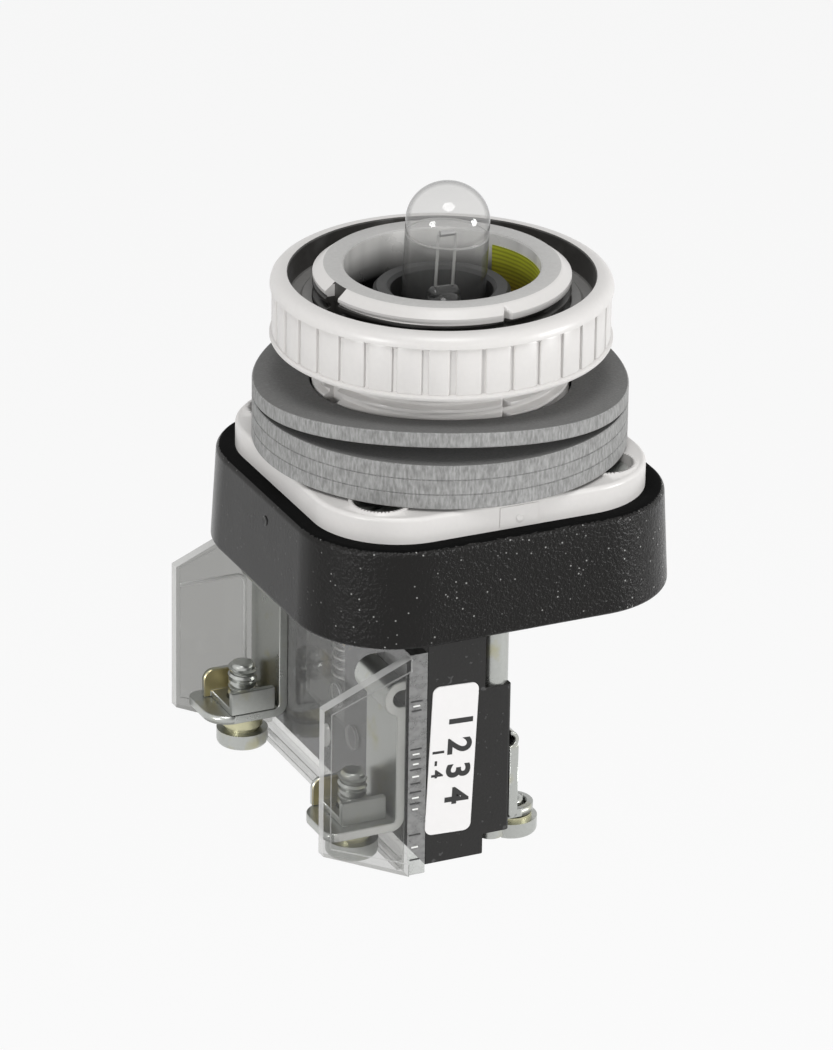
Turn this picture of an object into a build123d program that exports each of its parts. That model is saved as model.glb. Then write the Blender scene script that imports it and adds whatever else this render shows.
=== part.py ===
from build123d import *
import math
import os

# Panel pilot light for a 30.5 mm hole, in mm.
# The origin is on the barrel axis at the top face of the square plate, +Z points out of the panel.

# barrel and square plate
barrel_r = 15.0                # thread crests of a 30 mm barrel
barrel_top = 21.77
barrel_chamfer_w = 1.24        # from the thread crest in to the edge of the flat top
barrel_chamfer_z = 20.8
bore_r = 11.45
v_groove_w = 1.2
v_groove_deg = -85.0
relief_depth = 0.7             # neck that sets the lens thread off from the ring's thread
relief_bottom = 16.7
relief_top = 17.7
keyway_w = 2.75
keyway_depth = 1.2
keyway_deg = -173.0
plate_half = 20.6
plate_corner_r = 10.3
plate_t = 3.2
plate_edge_r = 0.5
well_x = 14.3
well_y = 14.8
well_r = 3.2
well_depth = 1.7
well_rim_w = 0.5
well_rim_h = 0.3               # the washers lie on these four rims

# washers
washer_r = 21.94
washer_hole_gap = 0.3          # radial gap on the barrel
washer_t = 1.8
washer_count = 3
bow_r = 107.5                  # bend radius of the bowed top washer
bow_axis_deg = -25.17          # the bend runs along this direction in plan

# mounting ring
ring_bottom = 12.65
ring_top = 20.68
ring_r = 19.95
ring_rim_w = 2.12              # from the outside in to the inner side of the thin rim
ring_floor = 17.3              # floor of the channel round the barrel
ring_step_w = 1.4              # raised zone next to the barrel
ring_step_h = 0.35
ring_step_slope = 0.3
ring_shoulder = 1.3
ring_foot_bevel = 0.4
ring_fit = 0.05                # running clearance on the barrel
pad_count = 36                 # flat pads round the ring with narrow grooves between them
groove_w = 0.5
groove_depth = 0.4
groove_bottom = 13.3
groove_top = 19.0
groove_phase_deg = -150.8

# flange screws
screw_head_r = 2.6
screw_head_h = 1.3
screw_shank_r = 1.5
screw_end = -12.5
screw_slot_w = 0.7
screw_slot_depth = 0.6
screw_slot_deg = 40.0
screw_end_gap = 0.5            # left under the tip of a fixed screw
hole_gap = 0.05                # radial gap round fixed screws

# housing
housing_bottom = -15.2
housing_top_half = 22.7
housing_bottom_half = 23.2
housing_corner_r = 12.0
housing_top_edge_r = 0.8
housing_bottom_edge_r = 0.5
housing_floor = 2.5
pocket_wall = 2.4              # outside wall of the two pockets under the housing
pocket_x0 = 14.6
pocket_half_y = 9.0
pocket_roof = -6.0
pocket_r = 1.5

# lamp socket
collar_top = 19.0
collar_r = 8.0
collar_bore_r = 6.0
collar_chamfer = 0.4
insulator_bore_gap = 0.25      # radial gap in the bore of the bushing and the housing
insulator_flange_t = 2.0
insulator_floor_top = 1.0
insulator_floor_t = 2.5
spring_room_r = 5.2
shell_r = 5.0
shell_wall = 0.4
shell_flange_t = 0.6
shell_top = 11.2
plunger_r = 3.4
plunger_head_r = 4.6
plunger_head_h = 1.0
plunger_bottom = -3.2
plunger_stroke = 1.2
slide_gap = 0.05
coil_wire_r = 0.4
coil_turns = 6
coil_inset = 0.3               # coil inside the edge of the plunger head
window_gap = 0.15              # round the bulb's pins in the shell
window_cuts = 5                # straight cuts that make the turning part of a bayonet slot

# bulb
base_r = 4.53
base_wall = 0.35
base_bottom = 3.0
base_top = 12.5
pin_r = 0.95
pin_z = 9.0
pin_reach = 5.5
bayonet_turn = 20.0
contact_r = 1.5
contact_h = 0.8
contact_chamfer = 0.3
plug_h = 1.6                   # glass insulator in the foot of the base
glass_r = 4.9
glass_wall = 0.5
glass_top = 31.7
glass_neck_r = 4.05
glass_neck_depth = 2.0         # how far the neck stands in the base
glass_neck_gap = 0.25
glass_dome = 0.93              # height of the dome as a part of its radius
glass_lean = 2.2               # the bulb in the picture stands a little askew in its base
bead_z = 18.0
bead_r = 1.0
bead_length = 3.8
bead_round = 0.7
lead_r = 0.18
lead_x = 1.1
lead_gap = 0.1                 # the leaning leads just clear the base's insulator
filament_r = 0.35
filament_z = 25.5

# label inside the barrel
inner_label_t = 0.1
inner_label_bottom = 14.6
inner_label_top = 20.3
inner_label_from = -21.0
inner_label_to = 34.0

# contact block
block_half_y = 22.0
slab_x0 = -11.4
slab_x1 = -4.0
slab_bottom = -43.5
lobe_x1 = -0.6
lobe_top = -22.2
lobe_bottom = -41.0
block_edge_r = 0.5
recess_x1 = -6.2
recess_y0 = 1.0
recess_y1 = 12.0
recess_top = -24.0
recess_bottom = -36.0
contact_bar_t = 2.0
contact_shelf_t = 3.5
contact_gap = 0.5              # behind the clear cover
contact_coil_r = 1.6
contact_coil_y = 6.6
contact_wire_r = 0.22
contact_coil_turns = 5
post_x = -2.1
post_from_end = 2.0            # post axis from the end of the block
post_r = 1.72
post_screw_r = 1.0
post_screw_end = -8.0
post_slot_w = 0.5
post_slot_depth = 0.45
post_head_r = 1.5
post_head_h = 1.2

# clear terminal cover
cover_x0 = -13.6
cover_top = -16.3
cover_bottom = -44.5
wing_x = -24.5
wing_t = 1.0
wing_outer_top = -21.2
wing_outer_bottom = -39.7
wing_rim_w = 1.0
wing_rim_h = 0.35
wing_drop_top = 0.2            # upper corner of the wing under the top of the cover
wing_root = 0.1                # the wing reaches this far into the cover
rim_top_w = 1.7
rim_side_w = 0.7
rim_bottom_w = 1.5
rail_t = 0.6
rail_h = 0.7
rail_low = 0.2
rail_step = 1.2
rail_from_end = 1.5
cover_boss_r = 1.5
cover_boss_h = 0.4
cover_bosses = ((-2.0, -30.0), (-6.5, -33.5))

# rating label on the end of the block
rating_w = 5.8
rating_h = 18.8
rating_t = 0.15
rating_corner = 0.9
rating_turn = 2.5
rating_x = -8.2
rating_z = -30.4

# terminals
sheet_t = 1.1
strap_out = 4.95               # strap edge from the screw axis, towards the end of the block
strap_in = 3.5                 # and towards its middle
foot_top = -37.9
terminal_from_end = 6.0        # screw axis from the end of the block
foot_reach_cover = 9.7         # from the face the strap lies on
screw_offset_cover = 4.4       # screw axis from the same face
screw_offset_lobe = 3.1
foot_corner_r = 3.0            # at the end of the foot, towards the middle of the block
foot_edge_r = 1.5              # and towards its end
saddle_t = 0.8
saddle_half_w = 3.5
saddle_x0 = 1.65               # from the face
saddle_x1 = 7.3
lip_front_h = 2.9              # over the top of the foot
lip_back_h = 3.45
lip_back_shift = 0.9
lip_corner_r = 1.3
bend_r_cover = 1.6             # outer radius of the bend into the foot
bend_r_lobe = 1.2
leg_out_lobe = 5.9             # outer edge of the leg from the screw axis
leg_above_lobe = 0.7           # the wide leg ends this far over the foot
leg_corner_r = 0.6
foot_r_lobe = 2.6              # round end of the foot about the screw
foot_top_lobe = -40.5
hook_r_cover = 2.15
hook_z_cover = -22.15
hook_r_lobe = 1.2
hook_z_lobe = -29.65
hook_t_cover = 1.1
hook_t_lobe = 0.45
term_thread_r = 1.75
term_hole_gap = 0.05
term_head_r = 3.1
term_head_h = 2.0
term_head_round = 0.6
term_tip_chamfer = 0.4
term_slot_w = 0.8
term_slot_depth = 0.9
term_slot_deg = 35.0
term_tip_above = 5.3           # screw tip over the top of the foot
term_play = 0.2                # left between foot and clamp washer in the picture, nearly tight
clamp_r = 2.45
clamp_h = 2.0
clamp_foot_r = 2.05
clamp_foot_h = 0.55
clamp_h_lobe = 0.5             # a flat washer on the lobe side
term_tip_above_lobe = 0.5

plate_bottom = -plate_t
stack_top = well_rim_h + washer_count * washer_t
barrel_chamfer_r = barrel_r - barrel_chamfer_w
relief_r = barrel_r - relief_depth
washer_hole_r = barrel_r + washer_hole_gap
post_y = block_half_y - post_from_end
terminal_y = block_half_y - terminal_from_end
foot_bottom = foot_top - sheet_t
foot_bottom_lobe = foot_top_lobe - sheet_t
big = 200.0                    # longer than anything here, for cutters

os.makedirs("parts", exist_ok=True)


def save(shape, node):
    export_step(Part() + shape, "parts/" + node + ".step")


def rod(r, z0, z1, x=0.0, y=0.0):
    return Pos(x, y, (z0 + z1) / 2) * Cylinder(r, z1 - z0)


def tube(r1, r0, z0, z1, x=0.0, y=0.0):
    return rod(r1, z0, z1, x, y) - rod(r0, z0 - 1, z1 + 1, x, y)


def block(x0, x1, y0, y1, z0, z1):
    size = (x1 - x0, y1 - y0, z1 - z0)
    return Pos((x0 + x1) / 2, (y0 + y1) / 2, (z0 + z1) / 2) * Box(*size)


def turned(points):
    """Solid turned round the Z axis from (radius, height) points."""
    face = make_face(Polyline(*[(r, 0, z) for r, z in points], close=True))
    return revolve(face, Axis.Z, 360)


def slab(half, corner, z0, z1):
    return Pos(0, 0, z0) * extrude(RectangleRounded(2 * half, 2 * half, corner), z1 - z0)


def side_sheet(points, y0, y1):
    """Plate parallel to the XZ plane from (x, z) points."""
    face = make_face(Polyline(*[(x, y1, z) for x, z in points], close=True))
    return extrude(face, y1 - y0, dir=(0, -1, 0))


def coil(r, z0, z1, turns, wire):
    """Compression spring whose ends are level with z0 and z1."""
    length = z1 - z0 - 2 * wire
    path = Pos(0, 0, z0 + wire) * Helix(length / turns, length, r)
    start = path @ 0
    along = path % 0
    return sweep(Plane(start, z_dir=along) * Circle(wire), path, is_frenet=True)


# bushing: square plate and barrel in one piece
plate = slab(plate_half, plate_corner_r, plate_bottom, 0)
plate = fillet(plate.edges().group_by(Axis.Z)[-1], plate_edge_r)
barrel = turned([
    (0, 0), (barrel_r, 0), (barrel_r, relief_bottom), (relief_r, relief_bottom),
    (relief_r, relief_top), (barrel_r, relief_top), (barrel_r, barrel_chamfer_z),
    (barrel_chamfer_r, barrel_top), (0, barrel_top),
])
bushing = plate + barrel
groove_side = v_groove_w / math.sqrt(2)
groove = Pos(barrel_r, 0, big / 2) * Rot(0, 0, 45) * Box(groove_side, groove_side, big)
bushing -= Rot(0, 0, v_groove_deg) * groove
keyway = block(barrel_r - keyway_depth, big, -keyway_w / 2, keyway_w / 2, 0, big)
bushing -= Rot(0, 0, keyway_deg) * keyway
wells = [(sx * well_x, sy * well_y) for sx in (-1, 1) for sy in (-1, 1)]
for wx, wy in wells:
    bushing += tube(well_r + well_rim_w, well_r, -1, well_rim_h, wx, wy)
for wx, wy in wells:
    bushing -= rod(well_r, -well_depth, well_rim_h + 1, wx, wy)
    bushing -= rod(screw_shank_r + hole_gap, plate_bottom - 1, 0, wx, wy)
bushing -= rod(bore_r, plate_bottom - 1, barrel_top + 1)
save(bushing, "bushing")

# flange screws in the four wells
flange_screws = Part()
for wx, wy in wells:
    seat = -well_depth
    screw = rod(screw_head_r, seat, seat + screw_head_h, wx, wy) + rod(screw_shank_r, screw_end, seat, wx, wy)
    slot_z = seat + screw_head_h - screw_slot_depth
    screw -= Pos(wx, wy, slot_z + 1) * Rot(0, 0, screw_slot_deg + wx) * Box(screw_head_r * 3, screw_slot_w, 2)
    flange_screws += screw
save(flange_screws, "flange_screws")

# three flat washers and the bowed one
for i in range(washer_count):
    low = well_rim_h + i * washer_t
    save(tube(washer_r, washer_hole_r, low, low + washer_t), "washer_" + str(i + 1))
bow_axis = Pos(0, 0, stack_top + bow_r) * Rot(0, 0, bow_axis_deg) * Rot(0, 90, 0)
bow = bow_axis * (Cylinder(bow_r, big) - Cylinder(bow_r - washer_t, 2 * big))
save(bow & tube(washer_r, washer_hole_r, stack_top - 1, stack_top + bow_r / 2), "washer_top")

# mounting ring
ring_bore = barrel_r + ring_fit
ring_rim_r = ring_r - ring_rim_w
ring_step_r = ring_bore + ring_step_w
ring = turned([
    (ring_bore, ring_bottom), (ring_r - ring_foot_bevel, ring_bottom),
    (ring_r, ring_bottom + ring_foot_bevel),
    (ring_r, ring_top - ring_shoulder), (ring_r - 0.27 * ring_shoulder, ring_top - 0.55 * ring_shoulder),
    (ring_r - 0.7 * ring_shoulder, ring_top - 0.15 * ring_shoulder), (ring_r - ring_shoulder, ring_top),
    (ring_rim_r, ring_top), (ring_rim_r, ring_floor), (ring_step_r, ring_floor),
    (ring_step_r - ring_step_slope, ring_floor + ring_step_h), (ring_bore, ring_floor + ring_step_h),
])
notch = block(ring_r - groove_depth, ring_r + 1, -groove_w / 2, groove_w / 2, groove_bottom, groove_top)
for i in range(pad_count):
    ring -= Rot(0, 0, groove_phase_deg + i * 360 / pad_count) * notch
save(ring, "mounting_ring")

# housing: tapered box with a deep bore for the socket and a pocket under each side
housing = loft([
    Plane.XY.offset(housing_bottom) * RectangleRounded(
        2 * housing_bottom_half, 2 * housing_bottom_half, housing_corner_r),
    Plane.XY.offset(plate_bottom) * RectangleRounded(
        2 * housing_top_half, 2 * housing_top_half, housing_corner_r),
])
housing = fillet(housing.edges().group_by(Axis.Z)[-1], housing_top_edge_r)
housing = fillet(housing.edges().group_by(Axis.Z)[0], housing_bottom_edge_r)
tube_floor = housing_bottom + housing_floor
posts = [(post_x, sy * post_y) for sy in (-1, 1)]
pocket_x1 = housing_top_half - pocket_wall
hollow = block(pocket_x0, pocket_x1, -pocket_half_y, pocket_half_y, housing_bottom - 1, pocket_roof)
hollow = fillet(hollow.edges().filter_by(Axis.Z), pocket_r)
housing -= hollow
housing -= mirror(hollow, Plane.YZ)
housing -= rod(bore_r, tube_floor, big)
for wx, wy in wells:
    housing -= rod(screw_shank_r + hole_gap, screw_end - screw_end_gap, 0, wx, wy)
for px, py in posts:
    housing -= rod(post_screw_r + hole_gap, housing_bottom - 1, post_screw_end + screw_end_gap, px, py)
save(housing, "housing")

# lamp socket
insulator = rod(bore_r - insulator_bore_gap, tube_floor, tube_floor + insulator_flange_t)
insulator += rod(collar_r, tube_floor, collar_top)
insulator -= rod(collar_bore_r, insulator_floor_top, big)
insulator -= rod(spring_room_r, tube_floor - 1, insulator_floor_top - insulator_floor_t)
insulator -= rod(plunger_r + slide_gap, tube_floor, insulator_floor_top + 1)
insulator = chamfer(insulator.edges().group_by(Axis.Z)[-1], collar_chamfer)
save(insulator, "socket_insulator")

shell_bore = shell_r - shell_wall
shell = tube(shell_r, shell_bore, insulator_floor_top, shell_top)
flange_top = insulator_floor_top + shell_flange_t
shell += tube(collar_bore_r, shell_bore, insulator_floor_top, flange_top)
pin_room = pin_r + window_gap
window = Part()
cut = block(shell_bore - 1, shell_r + 1, -pin_room, pin_room,
            pin_z - plunger_stroke - pin_room, pin_z + pin_room)
for k in range(window_cuts):
    window += Rot(0, 0, bayonet_turn * k / (window_cuts - 1)) * cut
entry = block(shell_bore - 1, shell_r + 1, -pin_room, pin_room, pin_z, big)
window += Rot(0, 0, bayonet_turn) * entry
shell -= window
shell -= Rot(0, 0, 180) * window
save(shell, "socket_shell")

plunger_top = base_bottom - contact_h
plunger = rod(plunger_r, plunger_bottom, plunger_top)
plunger += rod(plunger_head_r, plunger_bottom, plunger_bottom + plunger_head_h)
save(plunger, "socket_plunger")
coil_r = plunger_head_r - coil_wire_r - coil_inset
save(coil(coil_r, tube_floor, plunger_bottom, coil_turns, coil_wire_r), "socket_spring")

# bulb base with its two pins, contact and insulator
base = rod(base_r, base_bottom, base_top) - rod(base_r - base_wall, base_bottom - 1, base_top + 1)
pins = Pos(0, 0, pin_z) * Rot(0, 90, 0) * Cylinder(pin_r, 2 * pin_reach)
base += pins - rod(base_r - base_wall, base_bottom, base_top)
save(base, "bulb_base")
plug_top = base_bottom + plug_h
plug = rod(base_r - base_wall, base_bottom, plug_top)
save(plug, "bulb_insulator")
tip = rod(contact_r, plunger_top, base_bottom)
save(chamfer(tip.edges().group_by(Axis.Z)[0], contact_chamfer), "bulb_contact")

# glass bulb with bead, leads and filament, all leaning together
lean_deg = math.radians(bow_axis_deg)
lean_way = Axis((0, 0, base_top), (-math.sin(lean_deg), math.cos(lean_deg), 0))


def leaned(shape):
    return shape.rotate(lean_way, glass_lean)


dome = glass_r * glass_dome


def glass_body(r, neck_r, z0, shoulder_z, z_top):
    cap = scale(Sphere(r), by=(1, 1, glass_dome))
    whole = rod(neck_r, z0, shoulder_z + 0.01)
    whole += rod(r, shoulder_z, z_top - dome)
    whole += Pos(0, 0, z_top - dome) * (cap & block(-big, big, -big, big, 0, big))
    return whole


neck_bottom = base_top - glass_neck_depth
shoulder = base_top + glass_neck_gap
glass = glass_body(glass_r, glass_neck_r, neck_bottom, shoulder, glass_top)
glass -= glass_body(glass_r - glass_wall, glass_neck_r - glass_wall, neck_bottom - 1,
                    shoulder + glass_wall, glass_top - glass_wall)
save(leaned(glass), "bulb_glass")
lead = rod(lead_r, plug_top + lead_gap, filament_z)
leads = Pos(-lead_x, 0, 0) * lead + Pos(lead_x, 0, 0) * lead
bead = Pos(0, 0, bead_z) * Rot(0, 90, 0) * Cylinder(bead_r, bead_length)
bead = fillet(bead.edges(), bead_round)
save(leaned(bead - leads), "bulb_bead")
save(leaned(leads), "bulb_leads")
filament = Pos(0, 0, filament_z) * Rot(0, 90, 0) * Cylinder(filament_r, 2 * lead_x - 2 * lead_r)
save(leaned(filament), "bulb_filament")

# label on the wall of the bore
label = tube(bore_r, bore_r - inner_label_t, inner_label_bottom, inner_label_top)
first = Rot(0, 0, inner_label_from) * block(-big, big, 0, big, 0, big)
last = Rot(0, 0, inner_label_to) * block(-big, big, -big, 0, 0, big)
save(label & first & last, "barrel_label")

# contact block
side_block = block(slab_x0, slab_x1, -block_half_y, block_half_y, slab_bottom, housing_bottom)
side_block += block(slab_x1 - 1, lobe_x1, -block_half_y, block_half_y, lobe_bottom, lobe_top)
side_block = fillet(side_block.edges().filter_by(Axis.Z).group_by(Axis.X)[-1], block_edge_r)
side_block -= block(slab_x0 - 1, recess_x1, recess_y0, recess_y1, recess_bottom, recess_top)
for px, py in posts:
    side_block -= rod(post_screw_r + hole_gap, lobe_bottom - 1, lobe_top + 1, px, py)
save(side_block, "block_body")

spacers = Part()
block_screws = Part()
for px, py in posts:
    spacers += tube(post_r, post_screw_r + hole_gap, lobe_top, housing_bottom, px, py)
    one = rod(post_screw_r, lobe_bottom, post_screw_end, px, py)
    one += rod(post_head_r, lobe_bottom - post_head_h, lobe_bottom, px, py)
    one -= Pos(px, py, lobe_bottom - post_head_h) * Box(3 * post_head_r, post_slot_w, 2 * post_slot_depth)
    block_screws += one
save(spacers, "block_spacers")
save(block_screws, "block_screws")

# spring and brass contact in the pocket
bar_low = recess_top - contact_bar_t
shelf_top = recess_bottom + contact_shelf_t
contact_x0 = slab_x0 + contact_gap
contact_coil = coil(contact_coil_r, shelf_top, bar_low, contact_coil_turns, contact_wire_r)
save(Pos((contact_x0 + recess_x1) / 2, contact_coil_y, 0) * contact_coil, "contact_spring")
save(block(contact_x0, recess_x1, recess_y0, recess_y1, bar_low, recess_top), "contact_bar")
save(block(contact_x0, recess_x1, recess_y0, recess_y1, recess_bottom, shelf_top), "contact_carrier")

# clear cover with a wing at each end
cover = block(cover_x0, slab_x0, -block_half_y, block_half_y, cover_bottom, cover_top)
wing_pts = [
    (cover_x0 + wing_root, cover_top - wing_drop_top), (wing_x, wing_outer_top),
    (wing_x, wing_outer_bottom), (cover_x0 + wing_root, cover_bottom),
]
inner_pts = [
    (cover_x0 + 2 * wing_root, cover_top - wing_drop_top - rim_top_w),
    (wing_x + wing_rim_w, wing_outer_top - rim_side_w),
    (wing_x + wing_rim_w, wing_outer_bottom + rim_side_w),
    (cover_x0 + 2 * wing_root, cover_bottom + rim_bottom_w),
]
wing = side_sheet(wing_pts, -block_half_y, -block_half_y + wing_t)
rim = side_sheet(wing_pts, -block_half_y - wing_rim_h, -block_half_y + wing_root)
rim -= side_sheet(inner_pts, -block_half_y - 1, -block_half_y + 1)
for sheet in (wing, rim):
    cover += sheet
    cover += mirror(sheet, Plane.XZ)
rail_end = block_half_y - rail_from_end
for k in (0, 1):
    low = cover_bottom + rail_low + rail_step * k
    cover += block(cover_x0 - rail_h, cover_x0 + wing_root, -rail_end, rail_end, low, low + rail_t)
for by, bz in cover_bosses:
    cover += Pos(cover_x0, by, bz) * Rot(0, 90, 0) * Cylinder(cover_boss_r, 2 * cover_boss_h)
save(cover, "terminal_cover")

plate_shape = extrude(RectangleRounded(rating_w, rating_h, rating_corner), rating_t)
rating = Pos(rating_x, -block_half_y, rating_z) * Rot(0, rating_turn, 0) * Rot(90, 0, 0) * plate_shape
save(rating, "rating_label")


# terminals: bent strap, saddle with two lips, clamp washer, screw
def curl(r, t, x, z, y0, y1):
    """Open hook at the top of a strap, on the side away from the block."""
    ring_part = Pos(x, (y0 + y1) / 2, z) * Rot(90, 0, 0) * (Cylinder(r, y1 - y0) - Cylinder(r - t, big))
    return ring_part & block(max(x, 0), big, -big, big, z - r, z + r)


def bend_piece(r, low, y0, y1):
    """Quarter bend from the leg into the foot."""
    ring_part = Pos(r, (y0 + y1) / 2, low + r) * Rot(90, 0, 0) * (
        Cylinder(r, y1 - y0) - Cylinder(r - sheet_t, big))
    return ring_part & block(0, r, -big, big, low, low + r)


def cover_strap(outer):
    """Strap on a face at x = 0 with a wide foot towards +x; outer is the side of its wide edge."""
    y0, y1 = (-strap_out, strap_in) if outer < 0 else (-strap_in, strap_out)
    bend = bend_r_cover
    top = hook_z_cover + hook_r_cover
    foot = block(bend, foot_reach_cover, y0, y1, foot_bottom, foot_top)
    ends = foot.edges().filter_by(Axis.Z).group_by(Axis.X)[-1].sort_by(Axis.Y)
    wide, narrow = (ends[0], ends[-1]) if outer < 0 else (ends[-1], ends[0])
    foot = fillet(wide, foot_edge_r)
    near = [e for e in foot.edges().filter_by(Axis.Z) if e.center().X > foot_reach_cover / 2]
    foot = fillet([e for e in near if e.center().Y * outer < 0], foot_corner_r)
    whole = foot + bend_piece(bend, foot_bottom, y0, y1)
    whole += block(0, sheet_t, y0, y1, foot_bottom + bend, top - 2 * hook_r_cover + hook_t_cover)
    whole += curl(hook_r_cover, hook_t_cover, sheet_t / 2, hook_z_cover, y0, y1)
    whole += block(0, sheet_t / 2, y0, y1, top - hook_t_cover, top)
    return whole - rod(term_thread_r + term_hole_gap, foot_bottom - 1, foot_top + 1, screw_offset_cover)


def lobe_strap(outer):
    """Strap on a face at x = 0 with a wide leg and a narrow foot with a round end."""
    y0, y1 = (-leg_out_lobe, strap_in) if outer < 0 else (-strap_in, leg_out_lobe)
    leg_low = foot_top_lobe + leg_above_lobe
    leg = block(0, sheet_t, y0, y1, leg_low, hook_z_lobe - hook_r_lobe + hook_t_lobe)
    leg = fillet(leg.edges().filter_by(Axis.X).group_by(Axis.Z)[0], leg_corner_r)
    whole = leg + curl(hook_r_lobe, hook_t_lobe, sheet_t - hook_r_lobe, hook_z_lobe, y0, y1)
    whole += block(0, sheet_t, -foot_r_lobe, foot_r_lobe, foot_bottom_lobe + bend_r_lobe, leg_low + leg_corner_r)
    whole += bend_piece(bend_r_lobe, foot_bottom_lobe, -foot_r_lobe, foot_r_lobe)
    whole += block(bend_r_lobe, screw_offset_lobe, -foot_r_lobe, foot_r_lobe, foot_bottom_lobe, foot_top_lobe)
    whole += rod(foot_r_lobe, foot_bottom_lobe, foot_top_lobe, screw_offset_lobe) & block(
        bend_r_lobe, big, -big, big, foot_bottom_lobe, foot_top_lobe)
    hole = rod(term_thread_r + term_hole_gap, foot_bottom_lobe - 1, foot_top_lobe + 1, screw_offset_lobe)
    return whole - hole


def saddle(screw_x):
    """Channel on the foot with a low lip towards -y and a higher one towards +y."""
    x0, x1 = saddle_x0, saddle_x1
    whole = block(x0, x1, -saddle_half_w, saddle_half_w, foot_top, foot_top + saddle_t)
    whole += block(x0, x1, -saddle_half_w, -saddle_half_w + saddle_t, foot_top, foot_top + lip_front_h)
    back = block(x0, x1 + lip_back_shift, saddle_half_w - saddle_t, saddle_half_w,
                 foot_top, foot_top + lip_back_h)
    corner = back.edges().filter_by(Axis.Y).group_by(Axis.X)[-1].sort_by(Axis.Z)[-1]
    whole += fillet(corner, lip_corner_r)
    whole -= rod(term_thread_r + term_hole_gap, foot_bottom, foot_top + lip_back_h, screw_x)
    return whole


def clamp(seat, screw_x):
    """Flanged bush under the foot on the cover side."""
    hole = term_thread_r + term_hole_gap
    collar = tube(clamp_r, hole, seat + clamp_foot_h, seat + clamp_h, screw_x)
    return collar + tube(clamp_foot_r, hole, seat, seat + clamp_foot_h, screw_x)


def terminal_screw(seat, tip_z, screw_x):
    shank = rod(term_thread_r, seat, tip_z, screw_x)
    shank = chamfer(shank.edges().group_by(Axis.Z)[-1], term_tip_chamfer)
    head = rod(term_head_r, seat - term_head_h, seat, screw_x)
    head = fillet(head.edges().group_by(Axis.Z)[0], term_head_round)
    slot = Rot(0, 0, term_slot_deg) * Box(3 * term_head_r, term_slot_w, 2 * term_slot_depth)
    return shank + head - Pos(screw_x, 0, seat - term_head_h) * slot


seat_cover = foot_bottom - term_play - clamp_h
seat_lobe = foot_bottom_lobe - term_play - clamp_h_lobe
for name, side in (("1", -1), ("2", 1)):
    pieces = {
        "terminal_strap_": cover_strap(side),
        "clamp_washer_": clamp(seat_cover, screw_offset_cover),
        "terminal_screw_": terminal_screw(seat_cover, foot_top + term_tip_above, screw_offset_cover),
        "terminal_saddle_": saddle(screw_offset_cover),
    }
    for node, shape in pieces.items():
        save(Pos(cover_x0, side * terminal_y, 0) * mirror(shape, Plane.YZ), node + name)
for name, side in (("3", -1), ("4", 1)):
    hole = term_thread_r + term_hole_gap
    pieces = {
        "terminal_strap_": lobe_strap(side),
        "clamp_washer_": tube(clamp_r, hole, seat_lobe, seat_lobe + clamp_h_lobe, screw_offset_lobe),
        "terminal_screw_": terminal_screw(seat_lobe, foot_top_lobe + term_tip_above_lobe, screw_offset_lobe),
    }
    for node, shape in pieces.items():
        save(Pos(lobe_x1, side * terminal_y, 0) * shape, node + name)
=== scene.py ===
import math
import random

import bmesh
import bpy
from mathutils import Matrix, Vector


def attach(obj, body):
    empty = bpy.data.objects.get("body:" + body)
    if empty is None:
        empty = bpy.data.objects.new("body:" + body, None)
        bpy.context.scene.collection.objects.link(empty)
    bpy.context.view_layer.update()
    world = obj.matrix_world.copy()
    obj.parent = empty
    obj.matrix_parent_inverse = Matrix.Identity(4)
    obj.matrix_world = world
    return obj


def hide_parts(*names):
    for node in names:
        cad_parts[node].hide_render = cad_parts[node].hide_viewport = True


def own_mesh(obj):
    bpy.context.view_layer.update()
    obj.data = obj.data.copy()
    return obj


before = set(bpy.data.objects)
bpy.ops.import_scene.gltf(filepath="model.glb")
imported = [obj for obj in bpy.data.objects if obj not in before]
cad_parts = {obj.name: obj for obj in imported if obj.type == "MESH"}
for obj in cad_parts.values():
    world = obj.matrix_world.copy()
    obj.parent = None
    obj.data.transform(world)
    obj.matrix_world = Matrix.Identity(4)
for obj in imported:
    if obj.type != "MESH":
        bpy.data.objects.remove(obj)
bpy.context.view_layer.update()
scene = bpy.context.scene
MM = 0.001                      # lengths below are in mm, unless a comment says otherwise
SEG = 224      # steps round a full turn

VIEW_AZ = math.radians(-25.174)     # direction from which the photograph was taken
VIEW_EL = math.radians(23.982)

# ---------- sizes that the CAD model has too ----------
BARREL_R, BORE_R, BARREL_LOW, BARREL_TOP = 15.0, 11.45, -3.2, 21.77
WASHER_HOLE, WASHER_R, WASHER_T, STACK_LOW = 15.3, 21.94, 1.8, 0.3
BOW_R, BOWED_LOW = 107.5, 5.7
SCREW_R, SCREW_PITCH, SCREW_Y = 1.75, 0.794, 16.0
BULB_R, BULB_TOP, BULB_LOW, NECK_R = 4.9, 31.7, 10.5, 4.05
BULB_TILT, BULB_PIVOT = math.radians(2.2), 12.5


# ---------- nodes ----------
def add(tree, kind, inputs=None, **settings):
    """New node; inputs maps a socket's name or number to a value or to the socket that feeds it."""
    node = tree.nodes.new(kind)
    for key, value in settings.items():
        setattr(node, key, value)
    for key, value in (inputs or {}).items():
        if isinstance(value, bpy.types.NodeSocket):
            tree.links.new(value, node.inputs[key])
        else:
            node.inputs[key].default_value = value
    return node


def calc(tree, operation, a, b=None):
    """One Math node on sockets or numbers."""
    inputs = {0: a} if b is None else {0: a, 1: b}
    return add(tree, "ShaderNodeMath", inputs, operation=operation).outputs[0]


def combine(tree, x=0.0, y=0.0, z=0.0):
    return add(tree, "ShaderNodeCombineXYZ", {0: x, 1: y, 2: z}).outputs[0]


def rgba(color):
    return tuple(color) + (1,)


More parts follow.
